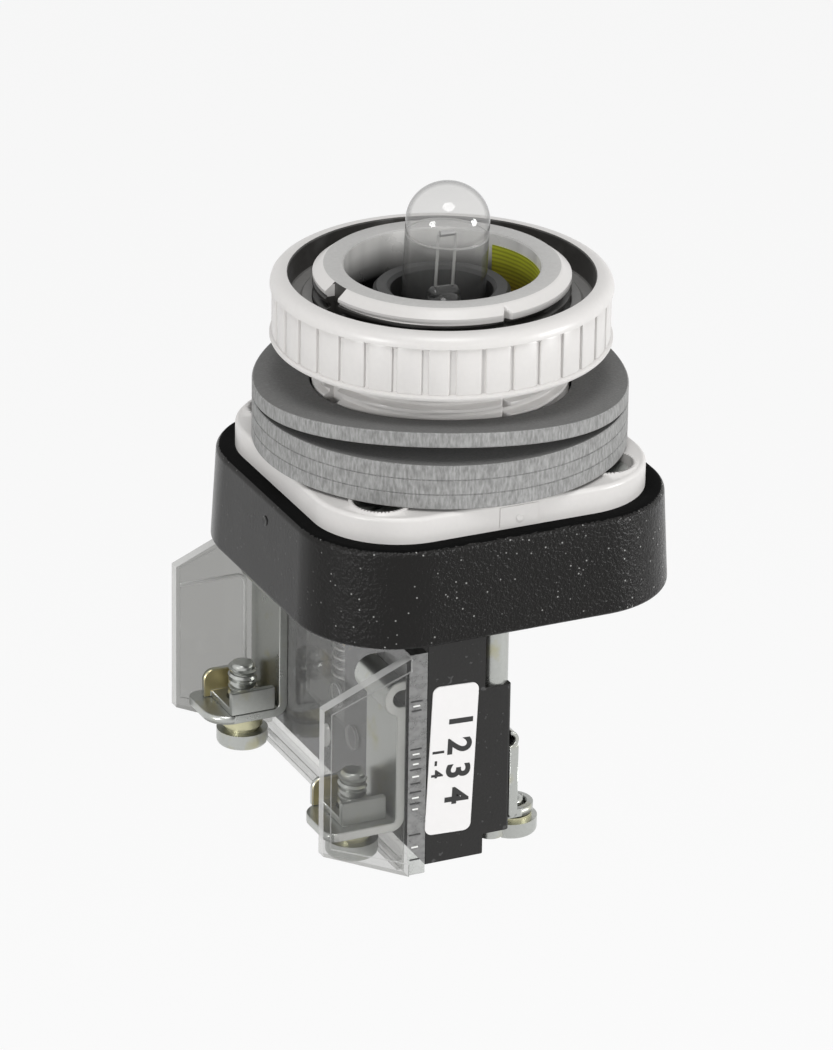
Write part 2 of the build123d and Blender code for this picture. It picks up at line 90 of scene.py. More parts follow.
def blend(tree, factor, a, b, mode="MIX"):
    """Mix of two colours, each an RGBA tuple or a socket."""
    return add(tree, "ShaderNodeMix", {0: factor, 6: a, 7: b},
               data_type="RGBA", blend_type=mode).outputs[2]


def remap(tree, value, low=0.0, high=1.0, to_low=0.0, to_high=1.0):
    """Value from the span low..high, clamped and carried to to_low..to_high."""
    return add(tree, "ShaderNodeMapRange", {
        "Value": value, "From Min": low, "From Max": high,
        "To Min": to_low, "To Max": to_high}).outputs[0]


def ramp(tree, value, low, high, dark=(0, 0, 0, 1), light=(1, 1, 1, 1)):
    """Colour ramp with two stops."""
    node = add(tree, "ShaderNodeValToRGB", {"Fac": value})
    for stop, position, color in zip(node.color_ramp.elements, (low, high), (dark, light)):
        stop.position = position
        stop.color = color
    return node.outputs["Color"]


def object_space(tree, stretch=None):
    """Object coordinates in metres, scaled along the axes if asked."""
    where = add(tree, "ShaderNodeTexCoord").outputs["Object"]
    if stretch:
        where = add(tree, "ShaderNodeMapping", {"Vector": where, "Scale": stretch}).outputs[0]
    return where


def noise(tree, where, scale, detail, rough=0.5):
    return add(tree, "ShaderNodeTexNoise", {
        "Vector": where, "Scale": scale, "Detail": detail, "Roughness": rough}).outputs["Fac"]


# ---------- materials ----------
def group_grain():
    """Shared masks in object space: fine grain, larger blotches and sparse specks."""
    tree = bpy.data.node_groups.new("grain", "ShaderNodeTree")
    tree.interface.new_socket("Scale", in_out="INPUT", socket_type="NodeSocketFloat")
    for mask in ("Fine", "Blotch", "Specks"):
        tree.interface.new_socket(mask, in_out="OUTPUT", socket_type="NodeSocketFloat")
    scale = add(tree, "NodeGroupInput").outputs[0]
    where = object_space(tree)
    fine, blotch, spots = (noise(tree, where, calc(tree, "MULTIPLY", scale, factor), detail)
                           for factor, detail in ((1.0, 6.0), (0.12, 4.0), (0.55, 2.0)))
    add(tree, "NodeGroupOutput", {0: fine, 1: blotch, 2: ramp(tree, spots, 0.66, 0.72)})
    return tree


GRAIN = group_grain()
ROUGH_SPREAD = 0.08     # how far the blotches move the roughness, each way


def start_material(name, rough, metal, grain, spec=0.5):
    """Principled material with blotchy roughness: (material, tree, shader, grain masks)."""
    mat = bpy.data.materials.new(name)
    mat.use_nodes = True
    tree = mat.node_tree
    shader = tree.nodes["Principled BSDF"]
    masks = add(tree, "ShaderNodeGroup", node_tree=GRAIN)
    masks.inputs["Scale"].default_value = grain
    shader.inputs["Metallic"].default_value = metal
    shader.inputs["Specular IOR Level"].default_value = spec
    uneven = remap(tree, masks.outputs["Blotch"], to_low=max(0.02, rough - ROUGH_SPREAD),
                   to_high=min(1.0, rough + ROUGH_SPREAD))
    tree.links.new(uneven, shader.inputs["Roughness"])
    return mat, tree, shader, masks.outputs


def set_bump(tree, shader, height, strength, distance):
    """Bump from a height mask; the distance is in metres."""
    bump = add(tree, "ShaderNodeBump", {
        "Height": height, "Strength": strength, "Distance": distance})
    tree.links.new(bump.outputs[0], shader.inputs["Normal"])


def material(name, color, rough, metal=0.0, grain=1500.0, vary=0.1, bump=0.0, dist=0.0001,
             second=None, mix_at=0.5, specks=None, spec=0.5):
    """Mottled colour; second is a colour that shows in blotches, specks one that shows in dots."""
    mat, tree, shader, masks = start_material(name, rough, metal, grain, spec)
    dark = rgba(c * (1 - vary) for c in color)
    light = rgba(min(1, c * (1 + vary)) for c in color)
    out = blend(tree, masks["Fine"], dark, light)
    if second:
        where = ramp(tree, masks["Blotch"], mix_at - 0.08, mix_at + 0.08)
        out = blend(tree, where, out, rgba(second))
    if specks:
        out = blend(tree, masks["Specks"], out, rgba(specks))
    tree.links.new(out, shader.inputs["Base Color"])
    if bump:
        set_bump(tree, shader, masks["Fine"], bump, dist)
    return mat


def clear(name, tint, ior, rough, haze, bands=0.0, rim=None):
    """Clear moulding or glass: tinted see-through, a mirror at a slant from outside, a little haze.

    bands is the most haze that patches reach, rim the grey that the tint falls to at a slant.
    """
    mat = bpy.data.materials.new(name)
    mat.use_nodes = True
    tree = mat.node_tree
    masks = add(tree, "ShaderNodeGroup", node_tree=GRAIN)
    masks.inputs["Scale"].default_value = 900.0
    mirror = tree.nodes["Principled BSDF"]
    mirror.inputs["Base Color"].default_value = (0.95, 0.95, 0.95, 1)
    mirror.inputs["Metallic"].default_value = 1.0
    uneven = remap(tree, masks.outputs["Blotch"], to_low=rough, to_high=rough + 0.06)
    tree.links.new(uneven, mirror.inputs["Roughness"])
    milk = add(tree, "ShaderNodeBsdfPrincipled", {
        "Base Color": (0.8, 0.8, 0.79, 1), "Roughness": 0.5})
    color = rgba(tint)
    if rim:
        slant = add(tree, "ShaderNodeLayerWeight", {"Blend": 0.5}).outputs["Facing"]
        color = blend(tree, remap(tree, slant, 0.5, 1.0), color, (rim, rim, rim, 1))
    see_through = add(tree, "ShaderNodeBsdfTransparent", {"Color": color})
    fresnel = add(tree, "ShaderNodeFresnel", {"IOR": ior}).outputs[0]
    inside = add(tree, "ShaderNodeNewGeometry").outputs["Backfacing"]
    shine = calc(tree, "MULTIPLY", fresnel, calc(tree, "SUBTRACT", 1.0, inside))
    body = add(tree, "ShaderNodeMixShader", {
        0: shine, 1: see_through.outputs[0], 2: mirror.outputs[0]})
    if bands:
        patches = noise(tree, object_space(tree, (1100, 1100, 1500)), 1.0, 4.0)
        haze = remap(tree, patches, 0.4, 0.62, haze, bands)
    whole = add(tree, "ShaderNodeMixShader", {0: haze, 1: body.outputs[0], 2: milk.outputs[0]})
    tree.links.new(whole.outputs[0], tree.nodes["Material Output"].inputs["Surface"])
    return mat


def sawn_edge():
    """Edge of a fibre washer: light, with fine upright strokes and blotches."""
    mat, tree, shader, masks = start_material("washer_edge", 0.8, 0.0, 3000)
    set_bump(tree, shader, masks["Fine"], 0.3, 0.0001)
    strokes = noise(tree, object_space(tree, (3400, 3400, 900)), 1.0, 3.0)
    color = ramp(tree, strokes, 0.33, 0.68, (0.19, 0.19, 0.186, 1), (0.33, 0.33, 0.325, 1))
    tree.links.new(color, shader.inputs["Base Color"])
    return mat


def by_height(name, low, high, z0, z1, rough, metal=0.0, ribs=0.0, streaks=0.0):
    """Colour that goes from low to high between two heights, with upright streaks or level ribs."""
    mat, tree, shader, _ = start_material(name, rough, metal, 1800)
    where = object_space(tree)
    height = add(tree, "ShaderNodeSeparateXYZ", {0: where}).outputs["Z"]
    out = blend(tree, remap(tree, height, z0 * MM, z1 * MM), rgba(low), rgba(high))
    if streaks:
        upright = noise(tree, object_space(tree, (420, 420, 12)), 1.0, 1.0)
        out = blend(tree, streaks, out, upright, "MULTIPLY")
    if ribs:
        wave = add(tree, "ShaderNodeTexWave", {"Vector": where, "Scale": 620, "Distortion": 0.6},
                   bands_direction="Z")
        out = blend(tree, ribs, out, wave.outputs["Color"], "MULTIPLY")
    tree.links.new(out, shader.inputs["Base Color"])
    return mat


def pebbled():
    """Black moulding: fine leather grain with small painted glints (light grey dots in its colour),
    smoother on its -X face.
    """
    mat, tree, shader, _ = start_material("pebble", 0.25, 0.0, 2100, spec=0.17)
    where = object_space(tree)
    x = add(tree, "ShaderNodeSeparateXYZ", {0: where}).outputs["X"]
    grainy = remap(tree, x, -22.5 * MM, -21.2 * MM, 0.16, 1.0)
    set_bump(tree, shader, noise(tree, where, 2600, 2.5, 0.55), grainy, 0.17 * MM)
    # painted glints: light grey dots in the base colour, few on the smooth -X face
    cells = add(tree, "ShaderNodeTexVoronoi", {"Vector": where, "Scale": 1000})
    glints = remap(tree, cells.outputs["Distance"], 0.13, 0.05)
    color = blend(tree, calc(tree, "MULTIPLY", glints, grainy),
                  (0.008, 0.0075, 0.007, 1), (0.34, 0.34, 0.33, 1))
    tree.links.new(color, shader.inputs["Base Color"])
    return mat


SOLID_LOOKS = {
    "bright": dict(color=(0.63, 0.615, 0.6), rough=0.34, grain=1800, vary=0.03, bump=0.04),
    "face": dict(color=(0.43, 0.425, 0.415), rough=0.45, grain=2600, vary=0.12, bump=0.1),
    # painted shade: near-black for recesses in shadow, the ring's inner wall, the barrel's thread
    # and the keyway floor
    "painted_shade": dict(color=(0.05, 0.048, 0.045), rough=0.4, vary=0.2, spec=0.3,
                    second=(0.09, 0.088, 0.085), mix_at=0.6),
    # painted shade: the ring's inner floor, darker grey than the ring's paint
    "floor": dict(color=(0.2, 0.196, 0.19), rough=0.45, vary=0.12),
    "washer": dict(color=(0.15, 0.15, 0.147), rough=0.85, grain=3500, vary=0.3, bump=0.35,
                   dist=0.00012, specks=(0.18, 0.18, 0.18)),
    "black": dict(color=(0.01, 0.0095, 0.009), rough=0.42, vary=0.3, bump=0.25),
    # painted shade: near-black, almost without sheen, for the housing's top faces round the plate
    "painted_gap_shade": dict(color=(0.003, 0.003, 0.003), rough=0.9, vary=0.3, spec=0.05),
    "block": dict(color=(0.01, 0.0095, 0.009), rough=0.4, grain=2500, vary=0.3, bump=0.3,
                  specks=(0.05, 0.05, 0.05), spec=0.35),
    "zinc": dict(color=(0.44, 0.45, 0.43), rough=0.3, metal=0.9, grain=2500, vary=0.08,
                 bump=0.1, second=(0.42, 0.41, 0.3), mix_at=0.64),
    "gold": dict(color=(0.5, 0.43, 0.22), rough=0.35, metal=0.85,
                 second=(0.45, 0.42, 0.3), mix_at=0.55),
    "yellow": dict(color=(0.56, 0.54, 0.36), rough=0.35, metal=0.8, grain=2500, bump=0.1),
    "brass": dict(color=(0.5, 0.36, 0.13), rough=0.35, metal=0.9, bump=0.05),
    "spring": dict(color=(0.4, 0.4, 0.4), rough=0.35, metal=0.9),
    "lead": dict(color=(0.42, 0.42, 0.41), rough=0.4, metal=0.3),
    # painted highlight: near-white for the straps' cut sheet edges and every other strip bar
    "edge_highlight": dict(color=(0.82, 0.82, 0.8), rough=0.3, metal=0.2, vary=0.06),
    "brown": dict(color=(0.1, 0.055, 0.03), rough=0.6),
    "socket": dict(color=(0.012, 0.012, 0.012), rough=0.55, vary=0.2, bump=0.1),
    "white": dict(color=(0.72, 0.71, 0.705), rough=0.45, grain=1200, vary=0.02),
    "ink": dict(color=(0.012, 0.012, 0.012), rough=0.5, grain=1200, vary=0.05),
    "solder": dict(color=(0.5, 0.5, 0.5), rough=0.4, metal=0.8),
    "grey": dict(color=(0.04, 0.04, 0.04), rough=0.6),
}
CLEAR_LOOKS = {
    "glass": dict(tint=(0.86, 0.86, 0.855), ior=1.55, rough=0.03, haze=0.035, rim=0.1),
    "dome": dict(tint=(0.86, 0.855, 0.85), ior=1.5, rough=0.03, haze=0.12, rim=0.14),
    "bead": dict(tint=(0.15, 0.15, 0.15), ior=1.6, rough=0.08, haze=0.04),
    "clear": dict(tint=(0.8, 0.8, 0.795), ior=1.4, rough=0.04, haze=0.02),
    "clear_far": dict(tint=(0.6, 0.6, 0.59), ior=1.33, rough=0.05, haze=0.015),
    "clear_web": dict(tint=(0.85, 0.85, 0.84), ior=1.5, rough=0.05, haze=0.09, bands=0.14),
    # clear_edge: a milky haze that lightens thin edges and ridges: painted highlight
    "clear_edge": dict(tint=(0.66, 0.66, 0.65), ior=1.6, rough=0.06, haze=0.4),
    "clear_end": dict(tint=(0.6, 0.62, 0.6), ior=1.4, rough=0.06, haze=0.2, bands=0.26),
}
M = {name: material(name, **look) for name, look in SOLID_LOOKS.items()}
M.update((name, clear(name, **look)) for name, look in CLEAR_LOOKS.items())
M["washer_edge"] = sawn_edge()
M["pebble"] = pebbled()
# bore wall: painted shade and painted reflection, near-black deep down to near-white at the mouth,
# with upright streaks
M["bore"] = by_height("bore", (0.006, 0.006, 0.006), (0.95, 0.94, 0.92), 16.4, 20.2,
                      rough=0.3, metal=0.1, streaks=0.5)
# label: darker and browner towards the bottom, painted shade deeper in the bore; the level ribs are
# the label's own
M["lime"] = by_height("lime", (0.2, 0.13, 0.012), (0.4, 0.43, 0.02), 15.0, 19.6,
                      rough=0.55, ribs=0.45)


def numbered(name, count):
    return [name + str(k + 1) for k in range(count)]


CAD_LOOKS = {
    "bright": ["bushing", "mounting_ring"],
    "pebble": ["housing"],
    "washer": ["washer_top"] + numbered("washer_", 3),
    "zinc": (["flange_screws", "block_spacers", "block_screws"] + numbered("terminal_saddle_", 2)
             + numbered("terminal_strap_", 4) + numbered("terminal_screw_", 4)),
    "yellow": numbered("clamp_washer_", 4),
    "lime": ["barrel_label"],
    "socket": ["socket_insulator"],
    "brass": ["socket_shell", "bulb_base", "contact_bar"],
    "spring": ["socket_spring", "bulb_filament", "contact_spring"],
    "brown": ["socket_plunger"],
    "black": ["bulb_insulator"],
    "solder": ["bulb_contact"],
    "glass": ["bulb_glass"],
    "bead": ["bulb_bead"],
    "lead": ["bulb_leads"],
    "block": ["block_body"],
    "grey": ["contact_carrier"],
    "clear": ["terminal_cover"],
    "white": ["rating_label"],
}
for key, cad_names in CAD_LOOKS.items():
    for cad_name in cad_names:
        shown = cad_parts[cad_name].data
        shown.materials.clear()
        shown.materials.append(M[key])
        shown.shade_smooth()
        shown.set_sharp_from_angle(angle=math.radians(32))


# ---------- mesh helpers ----------
IN_PLACE = Matrix.Identity(4)


def turn_steps(count):
    """Angles of count equal steps round a full turn."""
    return [2 * math.pi * i / count for i in range(count)]


def polar(r, t, z):
    return Vector((r * math.cos(t), r * math.sin(t), z))


def new_object(name, data):
    obj = bpy.data.objects.new(name, data)
    scene.collection.objects.link(obj)
    return obj


def plain_mesh(obj):
    """The object's mesh as its modifiers or its text leave it."""
    graph = bpy.context.evaluated_depsgraph_get()
    return bpy.data.meshes.new_from_object(obj.evaluated_get(graph))


def shade(mesh, sharp_angle):
    mesh.shade_smooth()
    mesh.set_sharp_from_angle(angle=math.radians(sharp_angle))


def even_normals(obj):
    """Keep flat faces flat beside their rounded edges; the modifier is applied at once."""
    mod = obj.modifiers.new("even", "WEIGHTED_NORMAL")
    mod.weight = 100
    mod.keep_sharp = True
    mesh = plain_mesh(obj)
    obj.modifiers.clear()
    obj.data = mesh


def finish_mesh(name, bm, mat, body, nodes=(), angle=35, even=False):
    """Turn a bmesh in mm into a piece that rides on a body and takes the place of CAD nodes."""
    bmesh.ops.remove_doubles(bm, verts=bm.verts, dist=1e-5)
    bmesh.ops.recalc_face_normals(bm, faces=bm.faces)
    bmesh.ops.scale(bm, vec=(MM,) * 3, verts=bm.verts)
    mesh = bpy.data.meshes.new(name)
    bm.to_mesh(mesh)
    bm.free()
    mesh.materials.append(M[mat])
    shade(mesh, angle)
    obj = new_object(name, mesh)
    if even:
        even_normals(obj)
    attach(obj, body)
    if nodes:
        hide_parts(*nodes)
    return obj


def clean_mesh(mesh, merge=None):
    """Outward normals on a finished mesh, with doubled points merged if asked (in metres)."""
    bm = bmesh.new()
    bm.from_mesh(mesh)
    if merge:
        bmesh.ops.remove_doubles(bm, verts=bm.verts, dist=merge)
    bmesh.ops.recalc_face_normals(bm, faces=bm.faces)
    bm.to_mesh(mesh)
    bm.free()


def grid(bm, rows, close_u=True, close_v=True):
    """Faces between rows of points; rows run round (u), the points of a row along (v)."""
    made = [[bm.verts.new(p) for p in row] for row in rows]
    nu, nv = len(made), len(made[0])
    for i in range(nu if close_u else nu - 1):
        a, b = made[i], made[(i + 1) % nu]
        for j in range(nv if close_v else nv - 1):
            k = (j + 1) % nv
            bm.faces.new((a[j], b[j], b[k], a[k]))
    return made


def lathe(name, profile, mat, body, nodes=(), change=None, steps=SEG, place=IN_PLACE):
    """Closed outline (r, z) turned round Z; change(t, r, z) -> (r, z) shapes it."""
    bm = bmesh.new()
    rows = []
    for t in turn_steps(steps):
        turned = [change(t, r, z) for r, z in profile] if change else profile
        rows.append([place @ polar(r, t, z) for r, z in turned])
    grid(bm, rows)
    return finish_mesh(name, bm, mat, body, nodes)


def rounded_box(x0, x1, z0, z1, radius, steps):
    """Outline (x, z) of a box with rounded corners."""
    out = []
    corners = [Vector(p) for p in ((x0, z0), (x1, z0), (x1, z1), (x0, z1))]
    for i, b in enumerate(corners):
        a, c = corners[i - 1], corners[(i + 1) % 4]
        p0, p1 = b + (a - b).normalized() * radius, b + (c - b).normalized() * radius
        for k in range(steps + 1):
            s = k / steps
            out.append(tuple((1 - s) ** 2 * p0 + 2 * s * (1 - s) * b + s * s * p1))
    return out


def prism(name, outline, y0, y1, mat, bevel):
    """Outline in (x, z) pulled along y, fixed to the frame."""
    bm = bmesh.new()
    a = [bm.verts.new((x, y0, z)) for x, z in outline]
    b = [bm.verts.new((x, y1, z)) for x, z in outline]
    bm.faces.new(a)
    bm.faces.new(b[::-1])
    for i in range(len(a)):
        j = (i + 1) % len(a)
        bm.faces.new((a[i], b[i], b[j], a[j]))
    bmesh.ops.recalc_face_normals(bm, faces=bm.faces)
    edges = [e for e in bm.edges if e.calc_face_angle(0) > math.radians(40)]
    bmesh.ops.bevel(bm, geom=edges, offset=bevel, segments=2, affect="EDGES", clamp_overlap=True)
    return finish_mesh(name, bm, mat, "frame")


def blob(name, radii, centre, mat, body, detail=3, angle=60, uneven=0.0, place=IN_PLACE):
    """Egg shape; uneven moves each point in or out at random by up to that share."""
    bm = bmesh.new()
    bmesh.ops.create_icosphere(bm, subdivisions=detail, radius=1.0)
    for v in bm.verts:
        swell = 1 + random.uniform(-uneven, uneven) if uneven else 1
        v.co = place @ (Vector([c * r * swell for c, r in zip(v.co, radii)]) + Vector(centre))
    return finish_mesh(name, bm, mat, body, angle=angle)


def paint(obj, *rules):
    """Give faces other materials: each rule is (material, test on (radius, height, face))."""
    for key, test in rules:
        obj.data.materials.append(M[key])
        slot = len(obj.data.materials) - 1
        for poly in obj.data.polygons:
            c = poly.center / MM
            if test(math.hypot(c.x, c.y), c.z, poly):
                poly.material_index = slot


# ---------- CAD nodes shown softened ----------
def extent(node):
    """Lowest and highest corner of a CAD node, in mm."""
    pts = [v.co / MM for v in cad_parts[node].data.vertices]
    return [Vector([pick(p[i] for p in pts) for i in range(3)]) for pick in (min, max)]


def cad_copy(node, keep=None):
    """A bmesh copy of a CAD node in mm, with only the faces that keep() accepts."""
    bm = bmesh.new()
    bm.from_mesh(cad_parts[node].data)
    bmesh.ops.scale(bm, vec=(1 / MM,) * 3, verts=bm.verts)
    bmesh.ops.remove_doubles(bm, verts=bm.verts, dist=1e-4)
    if keep:
        bmesh.ops.delete(bm, geom=[f for f in bm.faces if not keep(f)], context="FACES")
    return bm


def merge_flat(bm):
    bmesh.ops.dissolve_limit(bm, angle_limit=math.radians(0.5), verts=bm.verts, edges=bm.edges)


def open_edges(bm):
    return [e for e in bm.edges if len(e.link_faces) == 1]


def soften(node, mat, width, split_x=None):
    """CAD node shown with its sharp edges rounded, cut in two at split_x for painting."""
    bm = cad_copy(node)
    merge_flat(bm)
    edges = [e for e in bm.edges if e.is_manifold and e.calc_face_angle(0) > math.radians(38)]
    bmesh.ops.bevel(bm, geom=edges, offset=width, segments=2, affect="EDGES", clamp_overlap=True)
    if split_x is not None:
        bmesh.ops.bisect_plane(bm, geom=bm.verts[:] + bm.edges[:] + bm.faces[:], dist=1e-4,
                               plane_co=(split_x, 0, 0), plane_no=(1, 0, 0))
    bmesh.ops.delete(bm, geom=[e for e in bm.edges if not e.link_faces], context="EDGES")
    bmesh.ops.delete(bm, geom=[v for v in bm.verts if not v.link_faces], context="VERTS")
    return finish_mesh(node + "_soft", bm, mat, "frame", [node], angle=48, even=True)


# ---------- geometry trees for pads and coils ----------
def new_tree(name, inputs):
    """Geometry node tree with named inputs (name, kind, value) and one geometry output."""
    tree = bpy.data.node_groups.new(name, "GeometryNodeTree")
    for label, kind, value in inputs:
        socket = tree.interface.new_socket(label, in_out="INPUT", socket_type="NodeSocket" + kind)
        if value is not None:
            socket.default_value = value
    tree.interface.new_socket("Geometry", in_out="OUTPUT", socket_type="NodeSocketGeometry")
    return tree, tree.nodes.new("NodeGroupInput").outputs


def end_tree(tree, geometry, material_socket):
    """Every tree ends in Realize Instances and Set Material."""
    real = add(tree, "GeometryNodeRealizeInstances", {0: geometry}).outputs[0]
    painted = add(tree, "GeometryNodeSetMaterial", {"Geometry": real, "Material": material_socket})
    add(tree, "NodeGroupOutput", {0: painted.outputs[0]})
    return tree


NARROW_EVERY, NARROW_FIRST, NARROW_BY = 12, 3, 0.17


def pads_tree():
    """Flat pads set round a ring; one in every twelve is narrower. Lengths are in metres."""
    tree, put = new_tree("ring_pads", [
        ("Count", "Int", 36), ("Radius", "Float", 0.0193), ("Depth", "Float", 0.0006),
        ("Width", "Float", 0.003), ("Height", "Float", 0.0057), ("Turn", "Float", 0.0),
        ("Material", "Material", None)])
    index = add(tree, "GeometryNodeInputIndex").outputs[0]
    step = calc(tree, "DIVIDE", 2 * math.pi, put["Count"])
    angle = calc(tree, "ADD", calc(tree, "MULTIPLY", index, step), put["Turn"])
    where = combine(tree, calc(tree, "MULTIPLY", calc(tree, "COSINE", angle), put["Radius"]),
                    calc(tree, "MULTIPLY", calc(tree, "SINE", angle), put["Radius"]))
    narrow = calc(tree, "COMPARE", calc(tree, "MODULO", index, NARROW_EVERY), NARROW_FIRST)
    width = calc(tree, "SUBTRACT", 1.0, calc(tree, "MULTIPLY", narrow, NARROW_BY))
    points = add(tree, "GeometryNodePoints", {"Count": put["Count"], "Position": where})
    cube = add(tree, "GeometryNodeMeshCube", {
        "Size": combine(tree, put["Depth"], put["Width"], put["Height"])})
    placed = add(tree, "GeometryNodeInstanceOnPoints", {
        "Points": points.outputs[0], "Instance": cube.outputs["Mesh"],
        "Rotation": combine(tree, z=angle), "Scale": combine(tree, 1.0, width, 1.0)})
    return end_tree(tree, placed.outputs[0], put["Material"])


def coil_tree():
    """Wire or thread crest that follows a helix. Lengths are in metres."""
    tree, put = new_tree("coil", [
        ("Turns", "Float", 5.0), ("Radius", "Float", 0.0016), ("Height", "Float", 0.005),
        ("Wire", "Float", 0.0002), ("Sides", "Int", 10), ("Material", "Material", None)])
    helix = add(tree, "GeometryNodeCurveSpiral", {
        "Resolution": 40, "Rotations": put["Turns"], "Start Radius": put["Radius"],
        "End Radius": put["Radius"], "Height": put["Height"]})
    wire = add(tree, "GeometryNodeCurvePrimitiveCircle", {
        "Resolution": put["Sides"], "Radius": put["Wire"]})
    sweep = add(tree, "GeometryNodeCurveToMesh", {
        "Curve": helix.outputs[0], "Profile Curve": wire.outputs[0], "Fill Caps": True})
    return end_tree(tree, sweep.outputs[0], put["Material"])


def grow(name, tree, values, at, body, nodes=(), bevel=0.0, angle=40):
    """Run a tree and keep its result as a plain mesh at a place in mm; values are in metres."""
    grower = new_object(name + "_grower", bpy.data.meshes.new(name + "_base"))
    mod = grower.modifiers.new("grow", "NODES")
    mod.node_group = tree
    ids = {i.name: i.identifier for i in tree.interface.items_tree if i.in_out == "INPUT"}
    for key, value in values.items():
        mod[ids[key]] = value
    if bevel:
        edge = grower.modifiers.new("edge", "BEVEL")
        edge.width = bevel * MM
        edge.segments = 2
    mesh = plain_mesh(grower)
    bpy.data.objects.remove(grower)
    mesh.transform(Matrix.Translation(Vector(at) * MM))
    clean_mesh(mesh)
    shade(mesh, angle)
    out = new_object(name, mesh)
    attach(out, body)
    if nodes:
        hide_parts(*nodes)
    return out


def coil(name, radius, z0, height, wire, turns, sides, mat, centre, body, nodes=(), angle=40):
    """Helix of round wire from z0 up, round a centre (x, y); radius is to the wire's middle."""
    return grow(name, COIL, {
        "Turns": turns, "Radius": radius * MM, "Height": height * MM, "Wire": wire * MM,
        "Sides": sides, "Material": M[mat]}, (*centre, z0), body, nodes, angle=angle)


PADS, COIL = pads_tree(), coil_tree()

# ---------- mounting ring ----------
ring_profile = [
    (15.05, 12.65), (19.45, 12.65), (19.8, 12.75), (19.95, 13.0), (19.95, 13.2), (19.7, 13.36),
    (19.36, 13.42), (19.36, 16.0), (19.36, 18.7), (19.6, 18.98), (19.93, 19.12), (19.92, 19.5),
    (19.78, 19.95), (19.5, 20.3), (19.1, 20.55), (18.65, 20.66), (18.2, 20.68), (17.95, 20.66),
    (17.83, 20.5), (17.83, 17.5), (17.7, 17.3), (16.5, 17.3), (16.15, 17.62), (15.05, 17.65),
]
# the rim's inner wall and the inner floor get painted shade, darker than the ring's own light grey
paint(lathe("ring_body", ring_profile, "bright", "ring", ["mounting_ring"]),
      ("painted_shade", lambda r, z, f: 17.6 < r < 17.95 and z > 17.3),
      ("floor", lambda r, z, f: r < 17.8 and 17.0 < z < 18.0))

PAD_COUNT, PAD_OUT, PAD_IN, PAD_LOW, PAD_TOP = 36, 19.66, 19.05, 13.3, 19.05
PAD_HALF_GAP, PAD_FIRST = 0.72, -145.8      # degrees
pad_depth = PAD_OUT - PAD_IN
pad_half = math.radians(180 / PAD_COUNT - PAD_HALF_GAP)
grow("ring_pads", PADS, {
    "Count": PAD_COUNT, "Radius": (PAD_OUT - pad_depth / 2) * MM, "Depth": pad_depth * MM,
    "Width": 2 * PAD_OUT * math.tan(pad_half) * MM, "Height": (PAD_TOP - PAD_LOW) * MM,
    "Turn": math.radians(PAD_FIRST), "Material": M["bright"]},
    (0, 0, (PAD_LOW + PAD_TOP) / 2), "ring", bevel=0.28)

# ---------- washers ----------
WASHER_FACE_R = 21.8        # the rounded edge starts here
EDGE_RULE = ("washer_edge", lambda r, z, f: r > WASHER_FACE_R + 0.01)


def bow(t, r, z):
    """Raise a washer's point to the cylinder that the bowed one is bent to."""
    across = r * math.cos(t) * math.sin(VIEW_AZ) - r * math.sin(t) * math.cos(VIEW_AZ)
    return r, z + BOW_R - math.sqrt(BOW_R ** 2 - across * across)


for i, washer_name in enumerate(numbered("washer_", 3)):
    z0 = STACK_LOW + WASHER_T * i
    edge = [(WASHER_FACE_R, 0), (WASHER_R, 0.12), (WASHER_R, 0.6), (WASHER_R - 0.04, 0.9),
            (WASHER_R, 1.2), (WASHER_R, 1.68), (WASHER_FACE_R, WASHER_T)]
    outline = [(WASHER_HOLE, 0)] + edge + [(WASHER_HOLE, WASHER_T)]
    paint(lathe("flat_" + washer_name, [(r, z0 + z) for r, z in outline], "washer", "frame",
                [washer_name]), EDGE_RULE)

FACE_RADII = (WASHER_HOLE, 17.5, 19.5, WASHER_FACE_R)
bowed_top = BOWED_LOW + WASHER_T
outline = ([(r, BOWED_LOW) for r in FACE_RADII]
           + [(WASHER_R, BOWED_LOW + 0.15), (WASHER_R, bowed_top - 0.15)]
           + [(r, bowed_top) for r in reversed(FACE_RADII)])
paint(lathe("bowed_washer", outline, "washer", "frame", ["washer_top"], change=bow), EDGE_RULE)

# ---------- barrel ----------
THREAD_PITCH, THREAD_DEPTH, THREAD_TOP, THREAD_FADE, THREAD_START = 1.5, 0.75, 20.0, 0.35, -98
CREST_SHARE, FLANK_SHARE = 0.14, 0.22           # of the pitch, each side of a crest
CHAMFER_LOW, CHAMFER_H, CHAMFER_W = 20.8, 0.97, 1.24
NOTCH_AT, NOTCH_HALF, NOTCH_SLOPE = -85, 0.6, 1.3     # V-shaped mark; place in degrees
KEY_AT, KEY_HALF, KEY_R = -173, 1.38, 13.8            # keyway; place in degrees
SKIRT_R, SKIRT_TOP = 14.2, -0.5                       # wall that is hidden in the plate


def along(t, place):
    """Distance round the barrel between an angle and a place in degrees."""
    return math.radians(abs((math.degrees(t) - place + 180) % 360 - 180)) * BARREL_R


def barrel_radius(t, z):
    """Outside of the barrel with its chamfer, thread, notch and keyway."""
    r = BARREL_R
    if z > CHAMFER_LOW:
        r -= (z - CHAMFER_LOW) / CHAMFER_H * CHAMFER_W
    else:
        turns = (t - math.radians(THREAD_START)) / (2 * math.pi)
        phase = ((THREAD_TOP - z) / THREAD_PITCH + turns) % 1.0
        from_crest = 0.5 - abs(phase - 0.5)
        depth = THREAD_DEPTH * min(1.0, max(0.0, (from_crest - CREST_SHARE) / FLANK_SHARE))
        if z > THREAD_TOP:
            depth *= max(0.0, 1 - (z - THREAD_TOP) / THREAD_FADE)
        r -= depth
    from_notch = along(t, NOTCH_AT)
    if from_notch < NOTCH_HALF:
        r = min(r, BARREL_R - (NOTCH_HALF - from_notch) * NOTCH_SLOPE)
    if along(t, KEY_AT) < KEY_HALF:
        r = min(r, KEY_R)
    return r


